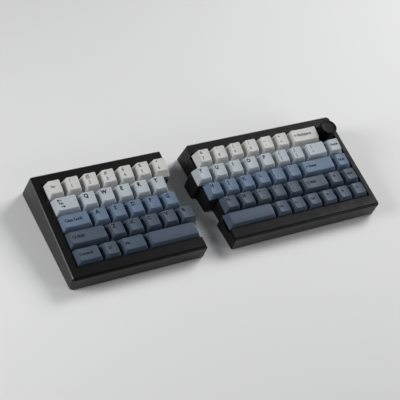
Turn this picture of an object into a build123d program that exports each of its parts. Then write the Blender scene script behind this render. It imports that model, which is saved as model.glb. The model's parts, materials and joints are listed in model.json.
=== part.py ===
from build123d import *
import os
from math import atan2, cos, degrees, hypot, radians, sin, tan

# A split keyboard in two halves. Each half is modelled in its own deck frame: X to the right, Y away from
# the typist along the tilted switch plate, Z square to the plate, with Z zero on the plate's upper face.
# X is zero at the left edge of the leftmost key and Y is zero at the back edge of the number row, in both
# halves, so the two decks share one stepped line and meet on it when the halves are pushed together.
# All lengths are in millimetres. Names that end in share or shares are multiples or fractions of a size.

# The whole keyboard
key_pitch = 19.05
typing_angle = 7.0
halves_apart = 32.3
split_gap = 0.3
cut_overrun = 60.0

# Case
left_bezel = 9.4
right_bezel = 6.7
back_bezel = 11.3
front_bezel = 13.75
bezel_rise = 9.3
front_wall_height = 17.2
back_wall_lean = 10.0
wall = 3.0
split_wall = 1.2
split_wall_rise = 1.4
ledge = 2.0
split_ledge = 0.8
floor_thickness = 2.0
corner_radius = 3.5
edge_bevel = 1.0
cover_depth = 4.5
cover_panel = 2.4
cover_collar = 1.2
front_lip = 1.7
seam_width = 0.9
key_well_gap = 0.6
bevel_side_share = 0.75

# Switch plate and circuit board
plate_thickness = 1.5
plate_clearance = 0.2
switch_hole = 14.0
encoder_hole_clearance = 0.3
board_drop = 5.0
board_thickness = 1.6
board_clearance = 0.8
board_split_clearance = 2.4
board_tab_width = 16.0
board_tab_clearance = 0.4

# Screws, and the towers and bosses that they pass through
screw_diameter = 2.9
screw_length = 11.0
screw_head_diameter = 5.5
screw_head_height = 2.0
screw_head_recess = 0.8
screw_head_clearance = 0.3
screw_hole = 3.4
screw_fit = 0.03
screw_tip_room = 1.0
post_side_count = 8
tower_diameter = 7.0
boss_diameter = 6.0
back_screw_inset = 3.9
front_screw_inset = 4.6
left_screw_shares = (0.09, 0.91)
right_screw_shares = (0.07, 0.5, 0.93)

# Rubber feet
foot_length = 22.0
foot_width = 6.0
foot_height = 1.7
foot_recess = 0.7
foot_clearance = 0.1
foot_bevel = 1.5
foot_side_inset = 34.0
foot_front_inset = 9.0
foot_back_inset = 11.0

# USB sockets and the ports in the rear wall
socket_width = 8.94
socket_height = 3.26
socket_length = 7.35
socket_shell = 0.3
socket_bevel = 0.9
socket_depth = 6.2
socket_tongue_width = 6.7
socket_tongue_thickness = 0.7
socket_tongue_length = 4.6
socket_setback = 3.0
port_width = 12.6
port_height = 7.2
port_bevel = 1.5
left_socket_places = (-29.0,)
right_socket_places = (28.0, 52.0)

# Switches
housing_width = 13.9
housing_flange = 15.6
housing_rise = 6.6
housing_top_width = 9.6
slider_width = 7.0
slider_depth = 5.6
slider_clearance = 0.2
slider_top = 6.4
slider_bottom = 1.0
key_travel = 4.0
slider_bottom_room = 0.5

# Keycaps, with their heights and places by row from back to front
cap_gap = 0.89
cap_rise = 6.0
cap_wall = 1.3
cap_roof = 1.2
cap_top_margin = 6.95
cap_top_depth = 13.6
cap_dish = 0.65
cap_dish_strip_count = 3
cap_dish_reach_share = 1.2
cap_back_heights = (11.2, 9.7, 7.8, 7.1, 7.1)
cap_front_heights = (9.0, 8.2, 7.1, 7.7, 7.7)
cap_top_shifts = (0.9, 0.4, 0.3, 0.2, 0.0)
cap_boss_width = 5.0
cap_trim_room = 1.0
space_crown = 0.9
space_bar_width_share = 3

# Knob and its encoder
knob_diameter = 18.6
knob_height = 15.4
knob_rise = 6.8
knob_bevel = 0.8
knob_roof = 3.0
knob_bore_diameter = 8.0
bush_side_count = 12
encoder_width = 12.0
encoder_depth = 13.2
encoder_rise = 1.4
encoder_bush_diameter = 7.0
encoder_bush_rise = 5.9
shaft_diameter = 6.0
shaft_clearance = 0.06
shaft_tip_room = 1.0
shaft_flange_diameter = 8.0
shaft_flange_height = 1.2
shaft_bottom = -1.0
shaft_flat = 1.5
shaft_flat_length = 7.0
knob_fit = 0.03
chamber_diameter = 8.8
chamber_floor = -4.2
chamber_roof = 0.5
plunger_width = 4.0
plunger_height = 2.0

# The stepped line between the halves, in key widths from the left edge, by row from back to front
split_line_shares = (7, 6.5, 6.75, 7.25, 7)
full_width_share = 16
knob_place_share = 15.5

# Keys by row, each with the node that it belongs to and its width in key pitches
left_key_shares = (
    (("left_number_keys", 1),) * 7,
    (("tab_key", 1.5), ("q_key", 1), ("w_key", 1), ("e_key", 1), ("r_key", 1), ("t_key", 1)),
    (("left_modifier_keys", 1.75), ("a_key", 1), ("s_key", 1), ("d_key", 1), ("f_key", 1), ("g_key", 1)),
    (("left_shift_key", 2.25), ("z_key", 1), ("x_key", 1), ("c_key", 1), ("v_key", 1), ("b_key", 1)),
    (("left_modifier_keys", 1.5), ("left_modifier_keys", 1), ("left_modifier_keys", 1.5),
     ("left_space_bar", space_bar_width_share)),
)
right_key_shares = (
    (("right_number_keys", 1),) * 6 + (("backspace_key", 2),),
    (("y_key", 1), ("u_key", 1), ("i_key", 1), ("o_key", 1), ("p_key", 1),
     ("punctuation_keys", 1), ("punctuation_keys", 1), ("punctuation_keys", 1.5), ("navigation_keys", 1)),
    (("h_key", 1), ("j_key", 1), ("k_key", 1), ("l_key", 1), ("punctuation_keys", 1),
     ("punctuation_keys", 1), ("enter_key", 2.25), ("navigation_keys", 1)),
    (("n_key", 1), ("m_key", 1), ("punctuation_keys", 1), ("punctuation_keys", 1), ("punctuation_keys", 1),
     ("right_shift_key", 1.75), ("arrow_keys", 1), ("navigation_keys", 1)),
    (("right_space_bar", space_bar_width_share), ("right_modifier_keys", 1), ("right_modifier_keys", 1),
     ("right_modifier_keys", 1), ("arrow_keys", 1), ("arrow_keys", 1), ("arrow_keys", 1)),
)

# Derived sizes and places in the deck frame
row_count = len(split_line_shares)
slope = tan(radians(typing_angle))
lean = tan(radians(back_wall_lean))
field_width = full_width_share * key_pitch
field_depth = row_count * key_pitch
front_face = -field_depth - front_bezel
base_at_front = bezel_rise - front_wall_height
cover_bottom = bezel_rise - cover_depth
panel_bottom = bezel_rise - cover_panel
ledge_top = -plate_thickness
board_top = -board_drop
board_bottom = board_top - board_thickness
front_screw_y = -field_depth - front_screw_inset
split_clearance = split_gap + split_wall + plate_clearance
knob_x = knob_place_share * key_pitch
knob_y = -key_pitch / 2
knob_top = knob_rise + knob_height
shaft_top = knob_top - knob_roof - shaft_tip_room
CENTRE_ON_FLOOR = (Align.CENTER, Align.CENTER, Align.MIN)

# A frame on the sloping underside of the case, at its front edge, with Z up from the desk
base_plane = Plane(origin=(0, front_face, base_at_front), x_dir=(1, 0, 0),
                   z_dir=(0, sin(radians(typing_angle)), cos(radians(typing_angle))))


def back_face(height, inset=0):
    """How far back the leaning rear wall stands at a height above the plate."""
    return back_bezel - inset + (bezel_rise - height) * lean


def base_height(y, lift=0):
    """The height of the underside at a place along the plate, or of a level above it."""
    return base_at_front - (y - front_face) * slope + lift / cos(radians(typing_angle))


def base_back(inset=0, lift=0):
    """How far back the rear wall meets the underside, or a level above it."""
    front = front_face + inset
    return (back_face(base_height(front, lift), inset) - slope * lean * front) / (1 - slope * lean)


# The screws all seat at the height that leaves the front heads just inside the underside
screw_seat = base_height(front_screw_y) + screw_head_recess + screw_head_height


def prism(points, bottom, top):
    """An upright block on a closed outline of points, from one height to another."""
    return extrude(Pos(0, 0, bottom) * make_face(Polyline(*points, close=True)), top - bottom, dir=(0, 0, 1))


def block(low, high):
    """A box between its lowest and highest corners."""
    size = [b - a for a, b in zip(low, high)]
    return Pos(*low) * Box(*size, align=(Align.MIN, Align.MIN, Align.MIN))


def bar(diameter, bottom, top):
    """An upright round bar on the origin's axis."""
    return Pos(0, 0, bottom) * Cylinder(diameter / 2, top - bottom, align=CENTRE_ON_FLOOR)


def post(diameter, side_count, bottom, top):
    """An upright many-sided bar on the origin's axis, as wide across its corners as a diameter."""
    return extrude(Pos(0, 0, bottom) * RegularPolygon(diameter / 2, side_count), top - bottom)


def pillar(width, depth, bottom, top):
    """An upright square bar centred on the origin's axis."""
    return Pos(0, 0, bottom) * Box(width, depth, top - bottom, align=CENTRE_ON_FLOOR)


def rectangle_points(half_width, front, back, height):
    """The corners of a level rectangle across the origin's YZ plane."""
    return [(x, y, height) for x, y in ((half_width, back), (-half_width, back),
                                        (-half_width, front), (half_width, front))]


def tapered_block(bottom, top):
    """A block with flat sides between two outlines that have matching corners."""
    sides = [(bottom[i - 1], bottom[i], top[i], top[i - 1]) for i in range(len(bottom))]
    return Solid(Shell([Face(Wire.make_polygon(points)) for points in [bottom, top] + sides]))


def above(height):
    """Everything above a height, across the whole case."""
    return block((-cut_overrun, front_face - cut_overrun, height),
                 (field_width + cut_overrun, back_bezel + cut_overrun, height + 2 * cut_overrun))


def behind(y):
    """Everything behind a line across the whole case."""
    return block((-cut_overrun, y, -cut_overrun), (field_width + cut_overrun, y + 3 * cut_overrun, cut_overrun))


class Half:
    """What differs between the two halves: sides, keys, screws and sockets."""

    def __init__(self, name, inward, outer_edge, key_shares, row_starts, screw_shares, socket_places):
        self.name = name
        self.inward = inward
        self.outer_edge = outer_edge
        self.key_shares = key_shares
        self.row_starts = row_starts
        self.screw_shares = screw_shares
        self.socket_places = socket_places

    def split_points(self, inset, back, front):
        """The stepped edge from back to front, set in from the line between the halves."""
        edges = [share * key_pitch - self.inward * inset for share in split_line_shares]
        points = [(edges[0], back)]
        for row in range(1, row_count):
            widens = self.inward * (edges[row] - edges[row - 1]) > 0
            step = -row * key_pitch + (-inset if widens else inset)
            points += [(edges[row - 1], step), (edges[row], step)]
        return points + [(edges[-1], front)]

    def outline(self, side_inset, split_inset, back, front):
        """The half's outline seen square to the plate, with its sides set in."""
        outer = self.outer_edge + self.inward * side_inset
        return [(outer, front), (outer, back)] + self.split_points(split_inset, back, front)

    def wedge(self, inset, split_inset, lift, top):
        """The space inside the walls, from a level above the underside up to a height."""
        front = front_face + inset
        back = base_back(inset, lift)
        profile = ((front, base_height(front, lift)), (back, base_height(back, lift)),
                   (back_face(top, inset), top), (front, top))
        side_view = make_face(Polyline(*[(-cut_overrun, y, z) for y, z in profile], close=True))
        slab = extrude(side_view, field_width + 2 * cut_overrun, dir=(1, 0, 0))
        plan = self.outline(inset, split_inset, back + cut_overrun, front - cut_overrun)
        return slab & prism(plan, base_height(back) - cut_overrun, top + cut_overrun)

    def key_well(self, margin):
        """The square space over the keys, open at the split side, wider than the keys by a margin."""
        far = self.outer_edge + self.inward * (field_width + cut_overrun)
        near = (0 if self.inward > 0 else field_width) - self.inward * margin
        return block((min(near, far), -field_depth - margin, -cut_overrun),
                     (max(near, far), margin, cut_overrun))

    def screw_places(self):
        """The middles of the screws, in the wide bands behind and before the keys."""
        places = []
        for row, y in ((0, back_screw_inset), (-1, front_screw_y)):
            reach = split_line_shares[row] * key_pitch - self.outer_edge
            places += [(self.outer_edge + share * reach, y) for share in self.screw_shares]
        return places

    def foot_places(self):
        """The middles of the feet on the underside, as X and the distance from its front edge."""
        sides = (self.outer_edge + self.inward * foot_side_inset,
                 split_line_shares[-1] * key_pitch - self.inward * foot_side_inset)
        base_depth = (base_back() - front_face) / cos(radians(typing_angle))
        return [(x, distance) for x in sides for distance in (foot_front_inset, base_depth - foot_back_inset)]

    def socket_middles(self):
        """The middles of the USB sockets along the back, measured from the split edge."""
        return [split_line_shares[0] * key_pitch + place for place in self.socket_places]

    def keys(self):
        """Each key as its node, its row, its width and the middle of its place on the plate."""
        found = []
        for row, row_keys in enumerate(self.key_shares):
            left = self.row_starts[row] * key_pitch
            for node, share in row_keys:
                width = share * key_pitch
                found.append((node, row, width, left + width / 2, -(row + 1 / 2) * key_pitch))
                left += width
        return found

    def switch_places(self):
        """The middles of the switches."""
        return [(x, y) for _, _, _, x, y in self.keys()]

    def holds_knob(self):
        """Whether the knob stands on this half."""
        return self.inward < 0


def outer_body(half):
    """The outside of the closed case, with rounded outer corners and a bevelled upper edge."""
    body = half.wedge(0, split_gap, 0, bezel_rise)
    side = [edge for edge in body.edges() if abs(edge.center().X - half.outer_edge) < split_gap]
    upright = [edge for edge in side if edge.bounding_box().size.Z > edge.bounding_box().size.Y]
    body = fillet(upright, corner_radius)
    bevel_reach = bevel_side_share * abs(split_line_shares[0] * key_pitch - half.outer_edge)
    rim = [edge for edge in body.faces().sort_by(Axis.Z)[-1].edges()
           if abs(edge.center().X - half.outer_edge) < bevel_reach]
    return chamfer(rim, edge_bevel)


def upper_case(half, body):
    """The cover: a bezel open at the split side, with a collar round the keys and bosses for the screws."""
    cover = body & above(cover_bottom) & behind(front_face + front_lip + seam_width)
    room = half.wedge(wall, split_gap + split_wall, floor_thickness, panel_bottom)
    cover -= (room & behind(front_face + front_lip + seam_width + split_wall)) - half.key_well(
        key_well_gap + cover_collar)
    collar = half.key_well(key_well_gap + cover_collar) & prism(
        half.outline(wall, split_clearance, back_bezel - wall, front_face + wall), 0, cover_bottom)
    cover += collar
    for x, y in half.screw_places():
        cover += Pos(x, y) * post(boss_diameter, post_side_count, 0, panel_bottom)
    cover -= half.key_well(key_well_gap)
    for x, y in half.screw_places():
        cover -= Pos(x, y) * post(screw_diameter + 2 * screw_fit, post_side_count, 0,
                                  screw_seat + screw_length + screw_tip_room)
    return cover


def foot_pad(margin, bottom, top):
    """A flat pad with cut corners, grown by a margin, between two heights above the underside."""
    flat = Rectangle(foot_length + 2 * margin, foot_width + 2 * margin)
    return extrude(Pos(0, 0, bottom) * chamfer(flat.vertices(), foot_bevel), top - bottom)


def port_cut(x):
    """The cut in the rear wall that lets a plug reach its socket."""
    face = chamfer(Rectangle(port_width, port_height).vertices(), port_bevel)
    start = Plane(origin=(x, back_bezel - wall - ledge, board_top + socket_height / 2), x_dir=(1, 0, 0),
                  z_dir=(0, 1, 0))
    return extrude(start * face, cut_overrun)


def lower_case(half, body):
    """The tray: floor, walls, front lip, plate ledge, screw towers, ports and foot recesses."""
    tray = body - (above(cover_bottom) & behind(front_face + front_lip))
    tray -= half.key_well(key_well_gap) & above(split_wall_rise)
    plate_room = half.wedge(wall, split_gap + split_wall, floor_thickness, cover_bottom)
    tray -= plate_room & above(ledge_top)
    tray -= half.wedge(wall + ledge, split_gap + split_wall + split_ledge, floor_thickness, ledge_top)
    inside = half.wedge(wall, split_gap + split_wall, 0, ledge_top)
    for x, y in half.screw_places():
        tray += Pos(x, y) * post(tower_diameter, post_side_count, base_height(y) - tower_diameter,
                                 ledge_top) & inside
    for x, y in half.screw_places():
        tray -= Pos(x, y) * post(screw_hole, post_side_count, screw_seat, ledge_top)
        tray -= Pos(x, y) * post(screw_head_diameter + 2 * screw_head_clearance, post_side_count,
                                 base_height(y) - tower_diameter, screw_seat)
    for x in half.socket_middles():
        tray -= port_cut(x)
    for x, distance in half.foot_places():
        tray -= base_plane * Pos(x, distance) * foot_pad(foot_clearance, -foot_recess, foot_recess)
    return tray


def switch_plate(half):
    """The metal plate that the switches clip into."""
    outline = half.outline(wall + plate_clearance, split_clearance,
                           back_face(0, wall + plate_clearance), front_face + wall + plate_clearance)
    plate = prism(outline, ledge_top, 0)
    holes = [Pos(x, y) * pillar(switch_hole, switch_hole, ledge_top, 0) for x, y in half.switch_places()]
    holes += [Pos(x, y) * post(screw_hole, post_side_count, ledge_top, 0) for x, y in half.screw_places()]
    if half.holds_knob():
        holes.append(Pos(knob_x, knob_y) * pillar(encoder_width + 2 * encoder_hole_clearance,
                                                  encoder_depth + 2 * encoder_hole_clearance, ledge_top, 0))
    return plate - holes


def circuit_board(half):
    """The board under the switches, with a tab at the back that carries the sockets."""
    outer = (0 if half.inward > 0 else field_width) + half.inward * board_clearance
    outline = half.split_points(board_split_clearance, -board_clearance, -field_depth + board_clearance)
    board = prism([(outer, -field_depth + board_clearance), (outer, -board_clearance)] + outline,
                  board_bottom, board_top)
    tab_back = back_face(board_top, wall + ledge) - board_tab_clearance
    for x in half.socket_middles():
        board += Pos(x) * block((-board_tab_width / 2, -key_pitch / 2, board_bottom),
                                (board_tab_width / 2, tab_back, board_top))
    return board


def usb_socket(x):
    """A USB-C socket: a bevelled metal shell with a tongue inside, its mouth towards the back."""
    middle = board_top + socket_height / 2
    mouth = back_face(middle) - socket_setback
    face = chamfer(Rectangle(socket_width, socket_height).vertices(), socket_bevel)
    opening = chamfer(Rectangle(socket_width - 2 * socket_shell, socket_height - 2 * socket_shell).vertices(),
                      socket_bevel)
    back = Plane(origin=(x, mouth, middle), x_dir=(1, 0, 0), z_dir=(0, -1, 0))
    shell = extrude(back * face, socket_length) - extrude(back * opening, socket_depth)
    tongue = Rectangle(socket_tongue_width, socket_tongue_thickness)
    tongue_start = Plane(origin=(x, mouth - socket_depth, middle), x_dir=(1, 0, 0), z_dir=(0, 1, 0))
    return shell + extrude(tongue_start * tongue, socket_tongue_length)


def case_screw():
    """A machine screw, driven up from the underside, standing on its seat height."""
    head = post(screw_head_diameter, post_side_count, screw_seat - screw_head_height, screw_seat)
    return head + post(screw_diameter, post_side_count, screw_seat, screw_seat + screw_length)


def switch_housing():
    """The body of one key switch, with the well that its slider runs in."""
    hood = tapered_block(rectangle_points(housing_flange / 2, -housing_flange / 2, housing_flange / 2, 0),
                         rectangle_points(housing_top_width / 2, -housing_top_width / 2, housing_top_width / 2,
                                          housing_rise))
    body = pillar(housing_width, housing_width, board_top, 0) + hood
    well_floor = slider_bottom - key_travel - slider_bottom_room
    return body - pillar(slider_width + 2 * slider_clearance, slider_depth + 2 * slider_clearance,
                         well_floor, housing_rise)


class Keycap:
    """One keycap over a switch: its walls lean in to a top that is dished across, or crowned on a space bar."""

    def __init__(self, row, width):
        self.back_height = cap_back_heights[row]
        self.front_height = cap_front_heights[row]
        self.half_width = (width - cap_gap) / 2
        self.half_depth = (key_pitch - cap_gap) / 2
        self.top_half_width = (width - cap_top_margin) / 2
        self.top_back = cap_top_shifts[row] + cap_top_depth / 2
        self.top_front = cap_top_shifts[row] - cap_top_depth / 2
        self.middle_height = (self.back_height + self.front_height) / 2
        self.is_space_bar = width > (space_bar_width_share - 1 / 2) * key_pitch

    def outline(self, height, inset):
        """The outline of the walls at a height above the rim, set in by a wall."""
        half_width = self.half_width - (self.half_width - self.top_half_width) * height / self.middle_height
        back = self.half_depth - (self.half_depth - self.top_back) * height / self.back_height
        front = -self.half_depth + (self.half_depth + self.top_front) * height / self.front_height
        return rectangle_points(half_width - inset, front + inset, back - inset, cap_rise + height)

    def frustum(self, height, inset):
        """The block between the rim and a height, along the leaning walls."""
        return tapered_block(self.outline(0, inset), self.outline(height, inset))

    def roof_height(self):
        """The height of the underside of the top."""
        drop = space_crown if self.is_space_bar else cap_dish
        return min(self.back_height, self.front_height) - drop - cap_roof

    def dish(self):
        """What the scoop takes off the top, along its slope: a hollow curve in a few flat strips."""
        steps = [2 * i / cap_dish_strip_count - 1 for i in range(cap_dish_strip_count + 1)]
        curve = [(step * cap_dish_reach_share * self.top_half_width,
                  cap_dish * ((step * cap_dish_reach_share) ** 2 - 1)) for step in steps]
        reach = cap_dish_reach_share * self.top_half_width
        profile = make_face(Polyline(*curve, (reach, key_pitch), (-reach, key_pitch), close=True))
        middle = (self.top_back + self.top_front) / 2
        tilt = degrees(atan2(self.back_height - self.front_height, cap_top_depth))
        top = Location((0, middle, cap_rise + self.middle_height), (tilt, 0, 0))
        return top * extrude(Rot(90, 0, 0) * profile, key_pitch, both=True)

    def crown(self):
        """The round bar whose back is the crowned top of a space bar."""
        half_top = cap_top_depth / 2
        radius = hypot(half_top, space_crown) ** 2 / (2 * space_crown)
        length = 2 * self.half_width + key_pitch
        return Pos(0, 0, cap_rise + self.middle_height - radius) * Rot(0, 90, 0) * Cylinder(radius, length)

    def solid(self):
        """The finished cap: a hollow shell with a boss that seats on the slider."""
        height = max(self.back_height, self.front_height) + cap_trim_room
        cap = self.frustum(height, 0)
        cap = cap & self.crown() if self.is_space_bar else cap - self.dish()
        cap -= self.frustum(self.roof_height(), cap_wall)
        boss_top = cap_rise + self.roof_height() + cap_roof / 2
        return cap + pillar(cap_boss_width, cap_boss_width, slider_top, boss_top)


def key_slider():
    """The sliding stem of a switch, which carries the keycap."""
    return pillar(slider_width, slider_depth, slider_bottom, slider_top)


def encoder_body():
    """The fixed body of the rotary encoder, with its bush and the chamber for the shaft's flange."""
    body = pillar(encoder_width, encoder_depth, board_top, encoder_rise)
    body += post(encoder_bush_diameter, bush_side_count, encoder_rise, encoder_bush_rise)
    body -= bar(shaft_diameter + 2 * shaft_clearance, chamber_roof, encoder_bush_rise)
    return body - post(chamber_diameter, bush_side_count, chamber_floor, chamber_roof)


def d_bar(diameter, flat, bottom, top):
    """A round bar with one flat side towards the front."""
    cut = block((-diameter, -diameter, bottom), (diameter, -diameter / 2 + flat, top))
    return bar(diameter, bottom, top) - cut


def encoder_shaft():
    """The turning shaft: a flange held in the chamber, a round neck and a flatted end for the knob."""
    flat_bottom = shaft_top - shaft_flat_length
    shaft = post(shaft_flange_diameter, bush_side_count, shaft_bottom, shaft_bottom + shaft_flange_height)
    shaft += bar(shaft_diameter, shaft_bottom, flat_bottom)
    return shaft + d_bar(shaft_diameter, shaft_flat, flat_bottom, shaft_top)


def encoder_plunger():
    """The small press piece under the shaft, pushed down when the knob is pressed."""
    return pillar(plunger_width, plunger_width, shaft_bottom - plunger_height, shaft_bottom)


def knob():
    """The knob, turned from solid: a bevelled top, bored from below for the flatted shaft."""
    body = chamfer(bar(knob_diameter, knob_rise, knob_top).edges().sort_by(Axis.Z)[-1], knob_bevel)
    flat_bottom = shaft_top - shaft_flat_length
    body -= post(knob_bore_diameter, bush_side_count, knob_rise, flat_bottom)
    return body - d_bar(shaft_diameter + 2 * knob_fit, shaft_flat, flat_bottom, knob_top - knob_roof)


def place(half, shape):
    """Moves a shape from a half's deck frame to the desk, with the keyboard's middle over the origin."""
    base_depth = (base_back() - front_face) / cos(radians(typing_angle))
    overhang = (front_wall_height - edge_bevel) * sin(radians(typing_angle))
    middle_x = (field_width + halves_apart + right_bezel - left_bezel) / 2
    middle_y = (base_depth - overhang) / 2
    shift = halves_apart if half.inward < 0 else 0
    desk = Pos(shift - middle_x, -middle_y, foot_height - foot_recess) * Rot(typing_angle, 0, 0)
    return desk * Pos(0, -front_face, -base_at_front) * shape


def save(node, half, shapes):
    """Writes one node's solids, placed on the desk."""
    solids = [solid for shape in shapes for solid in place(half, shape).solids()]
    shape = solids[0] if len(solids) == 1 else Compound(solids)
    export_step(shape, f"parts/{node}.step")


halves = (
    Half("left", 1, -left_bezel, left_key_shares, (0,) * row_count, left_screw_shares, left_socket_places),
    Half("right", -1, field_width + right_bezel, right_key_shares, split_line_shares, right_screw_shares,
         right_socket_places),
)

os.makedirs("parts", exist_ok=True)
for half in halves:
    body = outer_body(half)
    save(f"{half.name}_lower_case", half, [lower_case(half, body)])
    save(f"{half.name}_upper_case", half, [upper_case(half, body)])
    save(f"{half.name}_switch_plate", half, [switch_plate(half)])
    save(f"{half.name}_circuit_board", half, [circuit_board(half)])
    save(f"{half.name}_usb_sockets", half, [usb_socket(x) for x in half.socket_middles()])
    save(f"{half.name}_case_screws", half, [Pos(x, y) * case_screw() for x, y in half.screw_places()])
    feet = [base_plane * Pos(x, distance) * foot_pad(0, foot_recess - foot_height, foot_recess)
            for x, distance in half.foot_places()]
    save(f"{half.name}_rubber_feet", half, feet)
    housing = switch_housing()
    save(f"{half.name}_switch_housings", half, [Pos(x, y) * housing for x, y in half.switch_places()])
    keys = {}
    for node, row, width, x, y in half.keys():
        keys.setdefault(node, []).extend([Pos(x, y) * Keycap(row, width).solid(), Pos(x, y) * key_slider()])
    for node, shapes in keys.items():
        save(node, half, shapes)
    if half.holds_knob():
        knob_place = Pos(knob_x, knob_y)
        save("encoder_body", half, [knob_place * encoder_body()])
        save("encoder_plunger", half, [knob_place * encoder_plunger()])
        save("encoder_shaft", half, [knob_place * encoder_shaft()])
        save("knob", half, [knob_place * knob()])
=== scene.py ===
import json
from math import asin, cos, pi, radians, sin
import bmesh
import bpy
from mathutils import Matrix, Vector


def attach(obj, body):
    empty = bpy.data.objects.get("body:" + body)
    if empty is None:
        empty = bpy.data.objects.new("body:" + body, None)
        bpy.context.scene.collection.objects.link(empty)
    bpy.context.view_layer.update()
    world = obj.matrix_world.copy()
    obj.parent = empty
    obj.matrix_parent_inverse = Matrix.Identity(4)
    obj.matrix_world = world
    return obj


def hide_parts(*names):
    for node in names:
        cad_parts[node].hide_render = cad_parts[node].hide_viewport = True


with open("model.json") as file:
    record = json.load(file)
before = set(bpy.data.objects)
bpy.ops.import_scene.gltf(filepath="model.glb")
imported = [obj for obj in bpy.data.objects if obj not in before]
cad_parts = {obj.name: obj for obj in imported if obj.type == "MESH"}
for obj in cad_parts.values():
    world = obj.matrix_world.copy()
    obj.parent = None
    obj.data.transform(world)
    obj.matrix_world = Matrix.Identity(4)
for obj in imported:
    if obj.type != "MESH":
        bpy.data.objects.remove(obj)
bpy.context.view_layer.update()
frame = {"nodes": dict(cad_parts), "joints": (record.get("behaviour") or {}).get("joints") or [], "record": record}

# Shapes below are drawn in millimetres in the deck frame of the keyboard: X to the right, Y away
# from the typist along the tilted switch plate, Z square to the plate with zero on its upper face.
# The matrix deck carries them to metres on the desk.
MILLIMETRE = 0.001
KEY_PITCH = 19.05
ROW_NAMES = ("number", "top", "home", "bottom", "space")

# Vertices of a CAD mesh closer than this, in metres, are one
MERGE_DISTANCE = 0.001 * MILLIMETRE

# The middle of the Q key, in pitches to the right of and in front of the keys' back left corner
Q_MIDDLE = (2.0, 1.5)


def find_deck():
    """The matrix from the deck frame to the desk, worked out from a joint's axis and two nodes."""
    travel = next(joint for joint in frame["joints"] if joint["name"] == "q_key_travel")
    tilt = asin(travel["axis"][1])
    turn = Matrix.Rotation(tilt, 4, "X")
    level_out = turn.inverted()
    plate = frame["nodes"]["left_switch_plate"].data
    plate_top = max((level_out @ vertex.co).z for vertex in plate.vertices)
    cap = [level_out @ vertex.co for vertex in frame["nodes"]["q_key"].data.vertices]
    middle = [(min(place[i] for place in cap) + max(place[i] for place in cap)) / 2
              for i in range(2)]
    corner = Vector((middle[0] - Q_MIDDLE[0] * KEY_PITCH * MILLIMETRE,
                     middle[1] + Q_MIDDLE[1] * KEY_PITCH * MILLIMETRE, plate_top))
    return turn @ Matrix.Translation(corner) @ Matrix.Scale(MILLIMETRE, 4)


deck = find_deck()
desk_to_deck = deck.inverted()


def merged_mesh(node):
    """The mesh of a CAD node, in metres, with corners that its faces share."""
    mesh = bmesh.new()
    mesh.from_mesh(frame["nodes"][node].data)
    bmesh.ops.remove_doubles(mesh, verts=mesh.verts, dist=MERGE_DISTANCE)
    return mesh


def take_joined(start, waiting):
    """A vertex and all the waiting ones that edges join it to, which then wait no more."""
    waiting.remove(start)
    joined = [start]
    for vertex in joined:
        for edge in vertex.link_edges:
            other = edge.other_vert(vertex)
            if other in waiting:
                waiting.remove(other)
                joined.append(other)
    return joined


def solids(node):
    """Each solid of a CAD node as its box in the deck frame: its lowest and its highest corner."""
    mesh = merged_mesh(node)
    waiting = set(mesh.verts)
    boxes = []
    for start in mesh.verts:
        if start in waiting:
            places = [desk_to_deck @ vertex.co for vertex in take_joined(start, waiting)]
            boxes.append([Vector([pick(place[i] for place in places) for i in range(3)])
                          for pick in (min, max)])
    mesh.free()
    return boxes


# Materials

# The part of its range in which most of a noise lies
NOISE_LOW = 0.3
NOISE_HIGH = 0.7


def new_material(name, colour, roughness, metallic=0.0):
    """A principled material with its shader, ready for more nodes."""
    material = bpy.data.materials.new(name)
    material.use_nodes = True
    shader = material.node_tree.nodes["Principled BSDF"]
    shader.inputs["Base Color"].default_value = (*colour, 1.0)
    shader.inputs["Roughness"].default_value = roughness
    shader.inputs["Metallic"].default_value = metallic
    return material, shader


def noise(material, scale, detail=3.0):
    """A noise texture over the object's own coordinates."""
    nodes = material.node_tree.nodes
    coordinates = nodes.new("ShaderNodeTexCoord")
    texture = nodes.new("ShaderNodeTexNoise")
    texture.inputs["Scale"].default_value = scale
    texture.inputs["Detail"].default_value = detail
    material.node_tree.links.new(coordinates.outputs["Object"], texture.inputs["Vector"])
    return texture


def vary_shade(material, shader, texture, colour, share):
    """Makes the base colour darker and lighter by a share, with a texture."""
    links = material.node_tree.links
    ramp = material.node_tree.nodes.new("ShaderNodeValToRGB")
    dark, light = ramp.color_ramp.elements
    dark.position = NOISE_LOW
    dark.color = (*[channel * (1 - share) for channel in colour], 1.0)
    light.position = NOISE_HIGH
    light.color = (*[min(1.0, channel * (1 + share)) for channel in colour], 1.0)
    links.new(texture.outputs["Fac"], ramp.inputs["Fac"])
    links.new(ramp.outputs["Color"], shader.inputs["Base Color"])


def vary_gloss(material, shader, texture, low, high):
    """Lets the roughness run between two limits, with a texture."""
    links = material.node_tree.links
    limits = material.node_tree.nodes.new("ShaderNodeMapRange")
    limits.inputs["From Min"].default_value = NOISE_LOW
    limits.inputs["From Max"].default_value = NOISE_HIGH
    limits.inputs["To Min"].default_value = low
    limits.inputs["To Max"].default_value = high
    links.new(texture.outputs["Fac"], limits.inputs["Value"])
    links.new(limits.outputs["Result"], shader.inputs["Roughness"])


def roughen(material, shader, texture, depth, strength):
    """A fine bump from a texture, as deep as a distance in metres."""
    links = material.node_tree.links
    bump = material.node_tree.nodes.new("ShaderNodeBump")
    bump.inputs["Distance"].default_value = depth
    bump.inputs["Strength"].default_value = strength
    links.new(texture.outputs["Fac"], bump.inputs["Height"])
    links.new(bump.outputs["Normal"], shader.inputs["Normal"])


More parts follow.
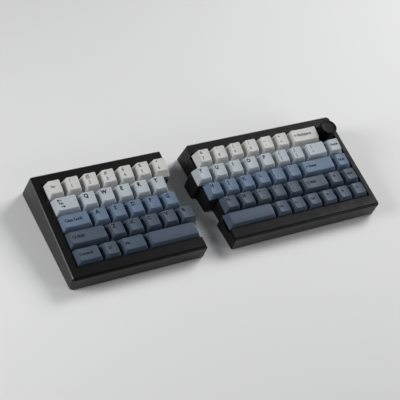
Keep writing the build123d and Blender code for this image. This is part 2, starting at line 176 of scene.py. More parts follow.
def moulded_plastic(name, colour, roughness=0.5, grain=5200.0):
    """Matt moulded plastic: a fine spark-eroded grain, slightly uneven in gloss and shade."""
    material, shader = new_material(name, colour, roughness)
    shader.inputs["Specular IOR Level"].default_value = 0.14
    vary_shade(material, shader, noise(material, scale=90.0), colour, share=0.05)
    vary_gloss(material, shader, noise(material, scale=240.0),
               low=roughness - 0.07, high=roughness + 0.07)
    roughen(material, shader, noise(material, scale=grain, detail=2.0),
            depth=0.00002, strength=0.35)
    return material


def blasted_metal(name, colour, roughness, metallic=0.9):
    """Bead-blasted and anodised aluminium: a dense fine grain under an even, dark colour."""
    material, shader = new_material(name, colour, roughness, metallic)
    vary_shade(material, shader, noise(material, scale=45.0), colour, share=0.06)
    vary_gloss(material, shader, noise(material, scale=130.0),
               low=roughness - 0.05, high=roughness + 0.06)
    roughen(material, shader, noise(material, scale=7000.0, detail=2.0),
            depth=0.000015, strength=0.3)
    return material


def turned_metal(name, colour, roughness):
    """Plain turned or plated metal with faint tool marks."""
    material, shader = new_material(name, colour, roughness, metallic=1.0)
    vary_gloss(material, shader, noise(material, scale=900.0, detail=4.0),
               low=roughness - 0.06, high=roughness + 0.08)
    roughen(material, shader, noise(material, scale=3000.0), depth=0.000006, strength=0.25)
    return material


# The colours of the rows' caps and legends, from the back row to the front
CAP_COLOURS = ((0.52, 0.515, 0.505), (0.375, 0.415, 0.445), (0.105, 0.152, 0.222),
               (0.055, 0.073, 0.1), (0.053, 0.073, 0.104))
LEGEND_COLOURS = ((0.13, 0.13, 0.13), (0.012, 0.014, 0.018), (0.009, 0.014, 0.028),
                  (0.006, 0.008, 0.013), (0.006, 0.008, 0.014))
cap_materials = [moulded_plastic(f"cap_plastic_{row}_row", colour)
                 for row, colour in zip(ROW_NAMES, CAP_COLOURS)]
legend_materials = [moulded_plastic(f"legend_dye_{row}_row", colour, roughness=0.75)
                    for row, colour in zip(ROW_NAMES, LEGEND_COLOURS)]
stem_material = moulded_plastic("stem_plastic", (0.03, 0.03, 0.032), roughness=0.4)
housing_material = moulded_plastic("housing_plastic", (0.02, 0.02, 0.022), roughness=0.45)
# A darker copy of the case metal as painted shade, for the upper case's top and inner faces and the lower case's
# lip
shaded_case_metal = blasted_metal("case_metal_painted_shade", (0.0058, 0.0058, 0.006), 0.54, metallic=0.95)
lower_metal = blasted_metal("lower_case_metal", (0.041, 0.041, 0.0423), 0.5, metallic=0.68)
# A darker copy of the case metal as painted shade, for a lower case's cut side and inner walls, where the other
# half casts its shadow
shaded_cut_side_metal = blasted_metal("cut_side_metal_painted_shade", (0.018, 0.018, 0.0185), 0.48, metallic=0.8)
knob_metal = blasted_metal("knob_metal", (0.0028, 0.0028, 0.003), 0.46, metallic=0.98)
plate_metal = blasted_metal("plate_metal", (0.02, 0.02, 0.021), 0.5)
screw_metal = turned_metal("screw_steel", (0.06, 0.06, 0.062), 0.35)
socket_metal = turned_metal("socket_metal", (0.55, 0.55, 0.56), 0.3)
encoder_metal = turned_metal("encoder_metal", (0.5, 0.5, 0.5), 0.32)
board_material = moulded_plastic("board_mask", (0.01, 0.03, 0.018), roughness=0.35, grain=1500.0)
rubber = moulded_plastic("foot_rubber", (0.02, 0.02, 0.02), roughness=0.8, grain=2600.0)

# The materials of every piece with keys: those of the caps and the legends by row, and the sliders'
key_materials = [material for pair in zip(cap_materials, legend_materials) for material in pair]
key_materials.append(stem_material)
STEM_SLOT = len(key_materials) - 1


# Shapes

def body_of(node):
    """The body that a CAD node belongs to."""
    bodies = frame["record"]["behaviour"]["bodies"]
    return next(body for body, nodes in bodies.items() if node in nodes)


def skin(mesh, rings, placing, material, start=None, end=None):
    """Joins rings of matching points into a surface, closed to a point at either end if given."""
    loops = [[mesh.verts.new(placing @ Vector(point)) for point in ring] for ring in rings]
    faces = []
    for low, high in zip(loops, loops[1:]):
        faces += [(low[i - 1], low[i], high[i], high[i - 1]) for i in range(len(low))]
    for loop, tip in ((loops[0], start), (loops[-1], end)):
        if tip is not None:
            point = mesh.verts.new(placing @ Vector(tip))
            faces += [(loop[i - 1], loop[i], point) for i in range(len(loop))]
    for face in faces:
        made = mesh.faces.new(face)
        made.material_index = material
        made.smooth = True


def circle(radius, height, count):
    """Points round a circle at a height."""
    angles = [2 * pi * step / count for step in range(count)]
    return [(radius * cos(angle), radius * sin(angle), height) for angle in angles]


def rounded_rectangle(half_width, front, back, radius, steps):
    """Points round a rectangle with round corners.

    The steps are the points between two corners across and along, and the parts of a corner.
    """
    across, along, corner_parts = steps
    arcs = []
    middles = ((half_width - radius, back - radius), (radius - half_width, back - radius),
               (radius - half_width, front + radius), (half_width - radius, front + radius))
    for turn, (x, y) in enumerate(middles):
        angles = [(turn + part / corner_parts) * pi / 2 for part in range(corner_parts + 1)]
        arcs.append([(x + radius * cos(angle), y + radius * sin(angle)) for angle in angles])
    points = []
    for i, arc in enumerate(arcs):
        count = across if i % 2 == 0 else along
        (x0, y0), (x1, y1) = arc[-1], arcs[(i + 1) % 4][0]
        points += arc
        points += [(x0 + (x1 - x0) * k / (count + 1), y0 + (y1 - y0) * k / (count + 1))
                   for k in range(1, count + 1)]
    return points


def level(outline, height):
    """The points of an outline at one height."""
    return [(x, y, height) for x, y in outline]


def finish_piece(mesh, node, materials, sharp=50.0):
    """Makes an object of a mesh in metres, which takes the place of a CAD node.

    Its faces look smooth over edges of less than the angle sharp, in degrees.
    """
    bmesh.ops.recalc_face_normals(mesh, faces=mesh.faces)
    name = f"{node}_dressed"
    data = bpy.data.meshes.new(name)
    mesh.to_mesh(data)
    mesh.free()
    for material in materials:
        data.materials.append(material)
    data.set_sharp_from_angle(angle=radians(sharp))
    piece = bpy.data.objects.new(name, data)
    bpy.context.scene.collection.objects.link(piece)
    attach(piece, body_of(node))
    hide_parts(node)
    return piece


# Keycaps

# CAP_RISE is the height of a cap's lower rim over the plate, and the other heights are over that
# rim. CAP_TOP_MARGIN is how much narrower a top is than its key's share of the deck. Values in
# brackets go by row, from the back row to the front. CAP_TOP_SHIFTS is how far a top's middle lies
# behind its key's middle.
CAP_GAP = 0.89
CAP_RISE = 6.0
CAP_WALL = 1.3
CAP_ROOF = 1.2
CAP_TOP_MARGIN = 6.95
CAP_TOP_DEPTH = 13.6
CAP_DISH = 0.65
CAP_BACK_HEIGHTS = (11.2, 9.7, 7.8, 7.1, 7.1)
CAP_FRONT_HEIGHTS = (9.0, 8.2, 7.1, 7.7, 7.7)
CAP_TOP_SHIFTS = (0.9, 0.4, 0.3, 0.2, 0.0)
CAP_RIM_RADIUS = 1.1
CAP_TOP_RADIUS = 1.7
CAP_LEAST_RADIUS = 0.1
CAP_EDGE_RADIUS = 0.45
CAP_RIM_BEVEL = 0.2
SPACE_CROWN = 0.9
LEAST_SPACE_BAR_WIDTH = 2.5 * KEY_PITCH
LEAST_CAP_DEPTH = 15.0

# Sliders, and the bosses that join the caps to them, with heights over the plate
SLIDER_WIDTH = 7.0
SLIDER_DEPTH = 5.6
SLIDER_BOTTOM = 1.05
SLIDER_TOP = 6.4
SLIDER_RADIUS = 0.5
SLIDER_BEVEL = 0.3
BOSS_RADIUS = 2.75

# How finely they are divided. Values in brackets are steps of rounded_rectangle.
CAP_STEPS = (8, 6, 5)
SPACE_BAR_STEPS = (12, 6, 5)
SLIDER_STEPS = (1, 1, 2)
BOSS_STEPS = 16
WALL_STEPS = 4
EDGE_STEPS = 4
TOP_STEPS = 10


class Cap:
    """One keycap: walls that lean in to a top dished across, or crowned along a space bar."""

    def __init__(self, mesh, row, x, y, width):
        self.mesh = mesh
        self.placing = deck @ Matrix.Translation((x, y, 0))
        self.slot = 2 * row
        self.legend_slot = 2 * row + 1
        self.back_height = CAP_BACK_HEIGHTS[row]
        self.front_height = CAP_FRONT_HEIGHTS[row]
        self.middle_height = (self.back_height + self.front_height) / 2
        self.half_width = (width - CAP_GAP) / 2
        self.half_depth = (KEY_PITCH - CAP_GAP) / 2
        self.top_half_width = (width - CAP_TOP_MARGIN) / 2
        self.top_middle = CAP_TOP_SHIFTS[row]
        self.top_front = self.top_middle - CAP_TOP_DEPTH / 2
        self.top_back = self.top_middle + CAP_TOP_DEPTH / 2
        self.is_space_bar = width > LEAST_SPACE_BAR_WIDTH
        self.steps = SPACE_BAR_STEPS if self.is_space_bar else CAP_STEPS

    def top(self, x, y):
        """The height of the top at a place."""
        if self.is_space_bar:
            crown = SPACE_CROWN * ((y - self.top_middle) * 2 / CAP_TOP_DEPTH) ** 2
            return CAP_RISE + self.middle_height - crown
        slope = (self.back_height - self.front_height) / CAP_TOP_DEPTH
        dish = CAP_DISH * ((x / self.top_half_width) ** 2 - 1)
        return CAP_RISE + self.middle_height + slope * (y - self.top_middle) + dish

    def outline(self, share, inset):
        """The outline of the walls at a share of their height, set in by a distance."""
        half_width = self.half_width + (self.top_half_width - self.half_width) * share
        front = -self.half_depth + (self.top_front + self.half_depth) * share
        back = self.half_depth + (self.top_back - self.half_depth) * share
        radius = CAP_RIM_RADIUS + (CAP_TOP_RADIUS - CAP_RIM_RADIUS) * share
        return rounded_rectangle(half_width - inset, front + inset, back - inset,
                                 max(radius - inset, CAP_LEAST_RADIUS), self.steps)

    def wall_ring(self, share):
        """A ring on the outside of the walls, at a share of the height below the rounded edge."""
        return [(x, y, CAP_RISE + share * (self.top(x, y) - CAP_EDGE_RADIUS - CAP_RISE))
                for x, y in self.outline(share, 0)]

    def edge_ring(self, share):
        """A ring on the rounded edge of the top, from 0 at the walls to 1 at the top."""
        angle = share * pi / 2
        inset = CAP_EDGE_RADIUS * (1 - cos(angle))
        drop = CAP_EDGE_RADIUS * (1 - sin(angle))
        return [(x, y, self.top(x, y) - drop) for x, y in self.outline(1, inset)]

    def top_ring(self, share):
        """A ring on the top, from 1 at its edge to 0 at its middle."""
        return [(x * share, self.top_middle + (y - self.top_middle) * share,
                 self.top(x * share, self.top_middle + (y - self.top_middle) * share))
                for x, y in self.outline(1, CAP_EDGE_RADIUS)]

    def add(self):
        """Adds the hollow cap with its boss, and the slider under it, to the mesh."""
        drop = SPACE_CROWN if self.is_space_bar else CAP_DISH
        roof = CAP_RISE + min(self.back_height, self.front_height) - drop - CAP_ROOF
        inner_share = (roof - CAP_RISE) / self.middle_height
        rings = [level(self.outline(inner_share, CAP_WALL), roof),
                 level(self.outline(0, CAP_WALL), CAP_RISE),
                 level(self.outline(0, CAP_RIM_BEVEL), CAP_RISE),
                 level(self.outline(0, 0), CAP_RISE + CAP_RIM_BEVEL)]
        rings += [self.wall_ring(step / WALL_STEPS) for step in range(1, WALL_STEPS)]
        rings += [self.edge_ring(step / EDGE_STEPS) for step in range(EDGE_STEPS + 1)]
        rings += [self.top_ring(1 - step / TOP_STEPS) for step in range(1, TOP_STEPS)]
        peak = (0, self.top_middle, self.top(0, self.top_middle))
        skin(self.mesh, rings, self.placing, self.slot, (0, 0, roof), peak)
        boss = [circle(BOSS_RADIUS, height, BOSS_STEPS) for height in (SLIDER_TOP, roof)]
        skin(self.mesh, boss, self.placing, self.slot, (0, 0, SLIDER_TOP), (0, 0, roof))
        slider = []
        for height, inset in ((SLIDER_BOTTOM, 0.0), (SLIDER_TOP - SLIDER_BEVEL, 0.0),
                              (SLIDER_TOP, SLIDER_BEVEL)):
            outline = rounded_rectangle(SLIDER_WIDTH / 2 - inset, inset - SLIDER_DEPTH / 2,
                                        SLIDER_DEPTH / 2 - inset, SLIDER_RADIUS, SLIDER_STEPS)
            slider.append(level(outline, height))
        skin(self.mesh, slider, self.placing, STEM_SLOT, (0, 0, SLIDER_BOTTOM), (0, 0, SLIDER_TOP))


# Legends: a thin printed layer on the caps' tops, with places from the middle of a top

LEGEND_DEPTH = 0.06
LEGEND_RISE = 0.03
LETTER_STEPS = 2
LETTER_SIZE = 5.8
LETTER_BOLD = 0.3
LETTER_PLACE = (-2.9, 2.6)
DIGIT_SIZE = 4.7
DIGIT_BOLD = 0.17
SYMBOL_PLACE = (-2.9, 3.3)
DIGIT_PLACE = (-2.6, -2.9)
NARROW_TOP = (KEY_PITCH - CAP_TOP_MARGIN) / 2

# Words start at a margin from the left edge of a top, and a short size is for the narrow caps
WORD_SIZE = 4.3
SHORT_WORD_SIZE = 3.6
WORD_BOLD = 0.2
WORD_MARGIN = 1.3
WORD_HEIGHT = 0.3

# Signs beside the words, with places from the same margin, and how much the arrows are enlarged
STROKE_WIDTH = 0.55
ARROW_HEAD = ((0.0, 0.0), (-1.7, 1.15), (-1.7, -1.15))
ARROW_ANGLES = {"right": 0, "up": 90, "left": 180, "down": 270}
TAB_WORD_SIZE = 3.3
TAB_INDENT = 0.8
TAB_ARROWS = ((2.4, 3.6, "left"), (5.0, -3.2, "right"))
TAB_ARROW_LENGTH = 4.8
TAB_ARROW_SWELL = 1.3
SHORT_ARROW_PLACE = 2.1
SHORT_ARROW_LENGTH = 3.6
SHORT_ARROW_SWELL = 1.2
SHORT_ARROW_INDENT = 4.9
OPEN_ARROW = ((0.0, 2.1), (2.1, 0.1), (0.95, 0.1), (0.95, -1.8), (-0.95, -1.8), (-0.95, 0.1),
              (-2.1, 0.1))
OPEN_ARROW_PLACE = 2.4
OPEN_ARROW_INDENT = 5.6
BIG_ARROW_PLACE = (-1.3, 1.2)
BIG_ARROW_LENGTH = 4.2
BIG_ARROW_SWELL = 1.45
WINDOW_PLACE = (-1.4, 0.4)
PANE_PLACE = 0.95
PANE_HALF = 0.7

# The raised bar on the F and J keys: its halves, its place and its heights, each with an inset
HOMING_BAR_HALF_WIDTH = 1.9
HOMING_BAR_HALF_DEPTH = 0.35
HOMING_BAR_RADIUS = 0.2
HOMING_BAR_PLACE = -4.6
HOMING_BAR_HEIGHTS = ((-0.3, 0.0), (0.25, 0.0), (0.4, 0.15))
HOMING_BAR_STEPS = (3, 1, 3)


def print_point(cap, place, x, y, rise):
    """A new vertex at a rise over a cap's top, off a place by x and y."""
    x += place[0]
    y += cap.top_middle + place[1]
    return cap.mesh.verts.new(cap.placing @ Vector((x, y, cap.top(x, y) + rise)))


def add_text(cap, words, size, bold, place, align="CENTER"):
    """Prints words on a cap's top."""
    curve = bpy.data.curves.new("words", "FONT")
    curve.body = words
    curve.size = size
    curve.align_x = align
    curve.align_y = "CENTER"
    curve.extrude = LEGEND_DEPTH / 2
    curve.offset = bold
    curve.resolution_u = LETTER_STEPS
    letters = bpy.data.objects.new("words", curve)
    data = bpy.data.meshes.new_from_object(letters)
    middle = LEGEND_RISE - LEGEND_DEPTH / 2
    corners = [print_point(cap, place, vertex.co.x, vertex.co.y, middle + vertex.co.z)
               for vertex in data.vertices]
    for polygon in data.polygons:
        made = cap.mesh.faces.new([corners[i] for i in polygon.vertices])
        made.material_index = cap.legend_slot
    bpy.data.objects.remove(letters)
    bpy.data.curves.remove(curve)
    bpy.data.meshes.remove(data)


def add_flat(cap, outline, place):
    """Prints a shape on a cap's top from its outline."""
    low, high = [[print_point(cap, place, x, y, rise) for x, y in outline]
                 for rise in (LEGEND_RISE - LEGEND_DEPTH, LEGEND_RISE)]
    faces = [tuple(low), tuple(high)]
    faces += [(low[i - 1], low[i], high[i], high[i - 1]) for i in range(len(low))]
    for face in faces:
        cap.mesh.faces.new(face).material_index = cap.legend_slot


def add_stroke(cap, start, end, place, width=STROKE_WIDTH):
    """Prints a straight line between two points near a place."""
    along = (Vector(end) - Vector(start)).normalized() * width / 2
    side = Vector((-along.y, along.x))
    first = Vector(start) - along
    last = Vector(end) + along
    add_flat(cap, (first + side, first - side, last - side, last + side), place)


def add_arrow(cap, place, way, length, swell):
    """Prints an arrow: a head, and a shaft."""
    turn = Matrix.Rotation(radians(ARROW_ANGLES[way]), 2)
    head = [turn @ Vector((x * swell + length / 2, y * swell)) for x, y in ARROW_HEAD]
    add_flat(cap, head, place)
    ends = [turn @ Vector((x, 0)) for x in (-length / 2, length / 2 + ARROW_HEAD[1][0])]
    add_stroke(cap, *ends, place, STROKE_WIDTH * swell)


def add_letter(cap, text):
    """One large letter near the back left of the top."""
    add_text(cap, text, LETTER_SIZE, LETTER_BOLD, LETTER_PLACE)


def add_pair(cap, text):
    """A sign above another, near the left of the top."""
    shift = (cap.top_half_width - NARROW_TOP) / 2
    for sign, (x, y) in zip(text, (SYMBOL_PLACE, DIGIT_PLACE)):
        add_text(cap, sign, DIGIT_SIZE, DIGIT_BOLD, (x - shift, y))


def add_word(cap, text, indent=0.0, size=WORD_SIZE):
    """A word that starts near the left of the top, at half its depth."""
    if cap.top_half_width < KEY_PITCH / 2:
        size = SHORT_WORD_SIZE
    place = (-cap.top_half_width + WORD_MARGIN + indent, WORD_HEIGHT)
    add_text(cap, text, size, WORD_BOLD * size / WORD_SIZE, place, "LEFT")


def add_tab(cap, text):
    """A word between two long arrows, one each way."""
    add_word(cap, text, TAB_INDENT, TAB_WORD_SIZE)
    left = -cap.top_half_width + WORD_MARGIN
    for x, y, way in TAB_ARROWS:
        add_arrow(cap, (left + x, y), way, TAB_ARROW_LENGTH, TAB_ARROW_SWELL)


def add_arrow_word(cap, text):
    """A word after a short arrow to the left."""
    place = (WORD_MARGIN + SHORT_ARROW_PLACE - cap.top_half_width, WORD_HEIGHT)
    add_arrow(cap, place, "left", SHORT_ARROW_LENGTH, SHORT_ARROW_SWELL)
    add_word(cap, text, SHORT_ARROW_INDENT)


def add_shift(cap, text):
    """A word after an open arrow that points up."""
    place = (WORD_MARGIN + OPEN_ARROW_PLACE - cap.top_half_width, WORD_HEIGHT)
    for i, corner in enumerate(OPEN_ARROW):
        add_stroke(cap, OPEN_ARROW[i - 1], corner, place)
    add_word(cap, text, OPEN_ARROW_INDENT)


def add_big_arrow(cap, text):
    """A single arrow that points the way that the text says, for the arrow keys."""
    add_arrow(cap, BIG_ARROW_PLACE, text, BIG_ARROW_LENGTH, BIG_ARROW_SWELL)


def add_homing_letter(cap, text):
    """A letter, and the raised bar that a forefinger feels for on the home row."""
    add_letter(cap, text)
    rings = []
    for height, inset in HOMING_BAR_HEIGHTS:
        outline = rounded_rectangle(HOMING_BAR_HALF_WIDTH - inset, inset - HOMING_BAR_HALF_DEPTH,
                                    HOMING_BAR_HALF_DEPTH - inset, HOMING_BAR_RADIUS,
                                    HOMING_BAR_STEPS)
        rings.append([(x, y + HOMING_BAR_PLACE, cap.top(x, y + HOMING_BAR_PLACE) + height)
                      for x, y in outline])
    ridge = cap.top(0, HOMING_BAR_PLACE) + HOMING_BAR_HEIGHTS[-1][0]
    skin(cap.mesh, rings, cap.placing, cap.slot, rings[0][0], (0, HOMING_BAR_PLACE, ridge))


def add_window(cap, text):
    """A plain sign of four squares, without text."""
    for middle_x in (-PANE_PLACE, PANE_PLACE):
        for middle_y in (-PANE_PLACE, PANE_PLACE):
            pane = [(middle_x + x * PANE_HALF, middle_y + y * PANE_HALF)
                    for x, y in ((-1, -1), (1, -1), (1, 1), (-1, 1))]
            add_flat(cap, pane, WINDOW_PLACE)


def each(add, *texts):
    """The same kind of legend for several keys in turn."""
    return [(add, text) for text in texts]


# The legends of each node's keys, from the back row to the front and from left to right
LEGENDS = {
    "left_number_keys": each(add_word, "Esc") + each(add_pair, "!1", "@2", "#3", "$4", "%5", "^6"),
    "right_number_keys": each(add_pair, "&7", "*8", "(9", ")0", "_-", "+="),
    "backspace_key": each(add_arrow_word, "Backspace"),
    "tab_key": each(add_tab, "Tab"),
    "punctuation_keys": each(add_pair, "{[", "}]", "|\\", ":;", "\"'", "<,", ">.", "?/"),
    "navigation_keys": each(add_word, "Home", "PgUp", "PgDn"),
    "enter_key": each(add_arrow_word, "Enter"),
    "left_shift_key": each(add_shift, "Shift"),
    "right_shift_key": each(add_shift, "Shift"),
    "left_modifier_keys": [(add_word, "Caps Lock"), (add_word, "Control"), (add_window, ""),
                           (add_word, "Alt")],
    "right_modifier_keys": each(add_word, "Alt", "Fn", "Ctrl"),
    "arrow_keys": each(add_big_arrow, "up", "left", "down", "right"),
    "left_space_bar": [],
    "right_space_bar": [],
}
for letter in "qwertyuiopasdfghjklzxcvbnm":
    LEGENDS[f"{letter}_key"] = each(add_homing_letter if letter in "fj" else add_letter,
                                    letter.upper())


def build_keys(node):
    """The caps of a node with their legends and sliders, as one piece."""
    places = []
    for low, high in solids(node):
        if high.y - low.y > LEAST_CAP_DEPTH:
            y = (low.y + high.y) / 2
            row = round(-y / KEY_PITCH - 0.5)
            places.append((row, (low.x + high.x) / 2, y, high.x - low.x + CAP_GAP))
    mesh = bmesh.new()
    for i, (row, x, y, width) in enumerate(sorted(places)):
        cap = Cap(mesh, row, x, y, width)
        cap.add()
        if i < len(LEGENDS[node]):
            add_legend, text = LEGENDS[node][i]
            add_legend(cap, text)
    finish_piece(mesh, node, key_materials)


for node in LEGENDS:
    build_keys(node)


# Case, plates and small parts

# A case has the metal's own colour on its outsides, and two darker copies of it as painted shade
LIGHT_SLOT = 0
# Painted shade on the top and inner faces of an upper case and on the lip of a lower case
PAINTED_SHADE_SLOT = 1
# Painted shade on the cut side and the inner walls of a lower case
CUT_SIDE_SHADE_SLOT = 2

# How far a face's normal has to point outwards to make it an outer side's, and along an axis to
# make it square to that axis
SIDE_FACE_LEAST = 0.15
SQUARE_FACE_LEAST = 0.9

# How far in from the outside of the case its rim, its walls and its lip reach, and the lip's bottom
RIM_DEPTH = 2.5
WALL_DEPTH = 9.0
LIP_DEPTH = 3.0
LIP_BOTTOM = 4.9

# The outsides of the whole case in the deck frame
left_rim = solids("left_upper_case")[0]
right_rim = solids("right_upper_case")[0]
case_left = left_rim[0].x
case_right = right_rim[1].x
case_back = left_rim[1].y
case_front = solids("left_lower_case")[0][0].y

# Angles in degrees under which the faces of a CAD mesh are one plane, and its edges are soft
FLAT_ANGLE = 1.0
SOFT_ANGLE = 35.0


def dress(node, materials, bevel, segments=3):
    """A copy of a CAD node with its edges broken by a small rounded bevel."""
    mesh = merged_mesh(node)
    bmesh.ops.dissolve_limit(mesh, angle_limit=radians(FLAT_ANGLE), verts=mesh.verts,
                             edges=mesh.edges)
    for face in mesh.faces:
        face.smooth = True
    piece = finish_piece(mesh, node, materials, sharp=SOFT_ANGLE)
    edges = piece.modifiers.new("broken edges", "BEVEL")
    edges.width = bevel * MILLIMETRE
    edges.segments = segments
    edges.limit_method = "ANGLE"
    edges.angle_limit = radians(SOFT_ANGLE)
    edges.miter_outer = "MITER_ARC"
    edges.use_clamp_overlap = True
    edges.harden_normals = True
    return piece


def shade(piece, choose):
    """Gives each face of a case the slot that a function picks by its place and direction."""
    turn = desk_to_deck.to_3x3().normalized()
    for face in piece.data.polygons:
        face.material_index = choose(desk_to_deck @ face.center, turn @ face.normal)


def is_outer(place, normal, depth):
    """Whether a face is on the left, right or rear outside of the case, at most a depth inside."""
    return (normal.x < -SIDE_FACE_LEAST and place.x < case_left + depth
            or normal.x > SIDE_FACE_LEAST and place.x > case_right - depth
            or normal.y > SIDE_FACE_LEAST and place.y > case_back - depth)


def shade_upper(place, normal):
    """The outer sides of an upper case keep the metal's own colour; its top and inner faces get painted shade."""
    return LIGHT_SLOT if is_outer(place, normal, RIM_DEPTH) else PAINTED_SHADE_SLOT


def shade_lower(place, normal):
    """The outer sides, the front and the underside of a lower case keep the metal's own colour; its lip and the
    rest get painted shade.
    """
    # The top of the lip is darkened as painted shade
    is_at_front = place.y < case_front + LIP_DEPTH
    if is_at_front and place.z > LIP_BOTTOM and normal.y > -SQUARE_FACE_LEAST:
        return PAINTED_SHADE_SLOT
    is_front = is_at_front and normal.y < -SIDE_FACE_LEAST
    is_below = normal.z < -SQUARE_FACE_LEAST
    # The cut side and the faces inside get painted shade
    return LIGHT_SLOT if is_front or is_below or is_outer(place, normal, WALL_DEPTH) else CUT_SIDE_SHADE_SLOT


def paint(node, material):
    """Gives a CAD node another material."""
    piece = frame["nodes"][node]
    piece.data.materials.clear()
    piece.data.materials.append(material)


# Screws, which stand on their heads. The profile of a head is radii and heights.
SCREW_STEPS = 24
SCREW_HEAD = ((2.3, 0.0), (2.46, 0.06), (2.53, 0.22), (2.53, 1.9), (2.45, 2.0), (1.33, 2.0))
SCREW_THREAD_START = 3.6
SCREW_PITCH = 0.5
SCREW_RADIUS = 1.33
SCREW_ROOT = 1.16
SOCKET_RADIUS = 1.45
SOCKET_DEPTH = 1.3
SOCKET_BEVEL = 0.15


def hexagon(radius, height):
    """As many points as a screw's circles have, on a hexagon of a radius across its corners."""
    points = []
    for step in range(SCREW_STEPS):
        angle = 2 * pi * step / SCREW_STEPS
        side_middle = (6 * step // SCREW_STEPS + 0.5) * pi / 3
        reach = radius * cos(pi / 6) / cos(angle - side_middle)
        points.append((reach * cos(angle), reach * sin(angle), height))
    return points


def build_screws(node):
    """The screws of a node, each with a hexagon socket in its head and a cut thread."""
    mesh = bmesh.new()
    for low, high in solids(node):
        placing = deck @ Matrix.Translation(((low.x + high.x) / 2, (low.y + high.y) / 2, low.z))
        length = high.z - low.z
        rings = [hexagon(SOCKET_RADIUS, SOCKET_DEPTH), hexagon(SOCKET_RADIUS, SOCKET_BEVEL),
                 hexagon(SOCKET_RADIUS + SOCKET_BEVEL, 0.0)]
        rings += [circle(radius, height, SCREW_STEPS) for radius, height in SCREW_HEAD]
        height = SCREW_THREAD_START
        rings.append(circle(SCREW_RADIUS, height, SCREW_STEPS))
        while height + SCREW_PITCH < length - SCREW_PITCH:
            rings += [circle(SCREW_ROOT, height + SCREW_PITCH / 2, SCREW_STEPS),
                      circle(SCREW_RADIUS, height + SCREW_PITCH, SCREW_STEPS)]
            height += SCREW_PITCH
        rings.append(circle(SCREW_ROOT, length, SCREW_STEPS))
        skin(mesh, rings, placing, 0, (0, 0, SOCKET_DEPTH), (0, 0, length))
    finish_piece(mesh, node, [screw_metal], sharp=30.0)


METAL_BEVEL = 0.12
RUBBER_BEVEL = 0.4
for side in ("left", "right"):
    # Each case gets the metal's own colour, with darker copies of it as painted shade
    shade(dress(f"{side}_upper_case", [lower_metal, shaded_case_metal], METAL_BEVEL), shade_upper)
    shade(dress(f"{side}_lower_case", [lower_metal, shaded_case_metal, shaded_cut_side_metal], METAL_BEVEL),
          shade_lower)
    paint(f"{side}_switch_plate", plate_metal)
    paint(f"{side}_switch_housings", housing_material)
    dress(f"{side}_usb_sockets", [socket_metal], METAL_BEVEL, segments=2)
    dress(f"{side}_rubber_feet", [rubber], RUBBER_BEVEL)
    paint(f"{side}_circuit_board", board_material)
    build_screws(f"{side}_case_screws")
for node in ("encoder_body", "encoder_shaft"):
    paint(node, encoder_metal)
paint("encoder_plunger", stem_material)


# The knob: radii, each with a height over the underside in the base and a drop below the top in
# the rim

KNOB_BASE = ((4.0, 0.6), (4.0, 0.0), (9.0, 0.0), (9.2, 0.05), (9.3, 0.2))
KNOB_RIM = ((9.3, 0.95), (9.26, 0.75), (9.1, 0.45), (8.9, 0.2), (8.75, 0.1), (8.55, 0.06),
            (8.0, 0.06), (7.85, 0.12), (7.75, 0.3), (7.6, 0.38), (4.0, 0.4), (1.0, 0.4))
KNOB_STEPS = 96


def build_knob():
    """The knob, turned about its own axis, with a soft upper edge and a fine rim round its top."""
    low, high = solids("knob")[0]
    placing = deck @ Matrix.Translation(((low.x + high.x) / 2, (low.y + high.y) / 2, low.z))
    top = high.z - low.z
    profile = KNOB_BASE + tuple((radius, top - drop) for radius, drop in KNOB_RIM)
    rings = [circle(radius, height, KNOB_STEPS) for radius, height in profile]
    mesh = bmesh.new()
    skin(mesh, rings, placing, 0, (0, 0, profile[0][1]), (0, 0, profile[-1][1]))
    finish_piece(mesh, "knob", [knob_metal], sharp=40.0)


build_knob()


# Floor, light and camera, in metres and watts

FLOOR_REACH = 4.0
FLOOR_SEEN = (0.7, 0.7, 0.7)
FLOOR_DIM = (0.28, 0.28, 0.28)
BACKDROP_SEEN = (0.93, 0.94, 0.95)
BACKDROP_SEEN_STRENGTH = 0.75
BACKDROP_DIM = (0.93, 0.95, 1.0)
BACKDROP_DIM_STRENGTH = 0.12
LAMP_SPREAD = 110.0

# The camera, found from the corners of the keycaps in the photograph. Its place is in the deck
# frame and in millimetres, and its turn about the desk's axes is in degrees.
CAMERA_PLACE = (-375.256, -558.327, 915.638)
CAMERA_TURN = (42.2462, -12.9525, -26.8628)
CAMERA_LENS = 104.2
SENSOR_WIDTH = 36.0


def blend_for_seen_rays(tree, hidden, seen, target):
    """Shows one shader to the camera and in reflections, and another to bouncing light."""
    path = tree.nodes.new("ShaderNodeLightPath")
    factor = path.outputs["Is Camera Ray"]
    for name in ("Is Glossy Ray", "Is Transmission Ray"):
        either = tree.nodes.new("ShaderNodeMath")
        either.operation = "MAXIMUM"
        tree.links.new(factor, either.inputs[0])
        tree.links.new(path.outputs[name], either.inputs[1])
        factor = either.outputs["Value"]
    blend = tree.nodes.new("ShaderNodeMixShader")
    tree.links.new(factor, blend.inputs["Fac"])
    tree.links.new(hidden, blend.inputs[1])
    tree.links.new(seen, blend.inputs[2])
    tree.links.new(blend.outputs["Shader"], target)


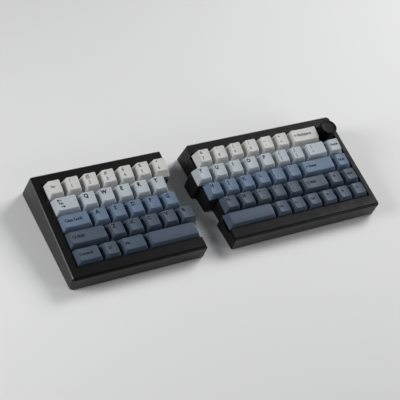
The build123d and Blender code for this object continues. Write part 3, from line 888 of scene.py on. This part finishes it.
def build_floor():
    """A wide pale floor under the keyboard."""
    mesh = bmesh.new()
    corners = [mesh.verts.new((x * FLOOR_REACH, y * FLOOR_REACH, 0.0))
               for x, y in ((-1, -1), (1, -1), (1, 1), (-1, 1))]
    mesh.faces.new(corners)
    data = bpy.data.meshes.new("floor")
    mesh.to_mesh(data)
    mesh.free()
    floor = bpy.data.objects.new("floor", data)
    bpy.context.scene.collection.objects.link(floor)
    material, shader = new_material("floor_paper", FLOOR_SEEN, roughness=0.9)
    shader.inputs["Specular IOR Level"].default_value = 0.1
    tree = material.node_tree
    dim = tree.nodes.new("ShaderNodeBsdfDiffuse")
    dim.inputs["Color"].default_value = (*FLOOR_DIM, 1.0)
    blend_for_seen_rays(tree, dim.outputs["BSDF"], shader.outputs["BSDF"],
                        tree.nodes["Material Output"].inputs["Surface"])
    data.materials.append(material)


def build_world():
    """A pale backdrop all round, that lights the keyboard only dimly."""
    world = bpy.data.worlds.new("studio")
    world.use_nodes = True
    tree = world.node_tree
    seen = tree.nodes["Background"]
    seen.inputs["Color"].default_value = (*BACKDROP_SEEN, 1.0)
    seen.inputs["Strength"].default_value = BACKDROP_SEEN_STRENGTH
    dim = tree.nodes.new("ShaderNodeBackground")
    dim.inputs["Color"].default_value = (*BACKDROP_DIM, 1.0)
    dim.inputs["Strength"].default_value = BACKDROP_DIM_STRENGTH
    blend_for_seen_rays(tree, dim.outputs["Background"], seen.outputs["Background"],
                        tree.nodes["World Output"].inputs["Surface"])
    bpy.context.scene.world = world


def build_light(name, place, size, power):
    """A square soft lamp that faces the middle of the keyboard, and leaves the floor by it dim."""
    lamp = bpy.data.lights.new(name, "AREA")
    lamp.size = size
    lamp.energy = power
    lamp.spread = radians(LAMP_SPREAD)
    holder = bpy.data.objects.new(name, lamp)
    holder.location = place
    holder.rotation_euler = (-Vector(place)).to_track_quat("-Z", "Y").to_euler()
    bpy.context.scene.collection.objects.link(holder)


def build_camera():
    """The photograph's camera."""
    data = bpy.data.cameras.new("camera")
    data.lens = CAMERA_LENS
    data.sensor_width = SENSOR_WIDTH
    camera = bpy.data.objects.new("camera", data)
    camera.location = deck @ Vector(CAMERA_PLACE)
    camera.rotation_euler = [radians(angle) for angle in CAMERA_TURN]
    bpy.context.scene.collection.objects.link(camera)
    bpy.context.scene.camera = camera


build_floor()
build_world()
build_light("left_light", place=(-0.95, 0.08, 0.5), size=0.5, power=3.1)
build_light("right_light", place=(1.08, 0.42, 0.92), size=0.7, power=6.75)
build_light("front_light", place=(1.0, -1.0, 0.4), size=0.9, power=3.2)
build_camera()
bpy.context.scene.view_settings.view_transform = "Standard"

bpy.context.view_layer.update()
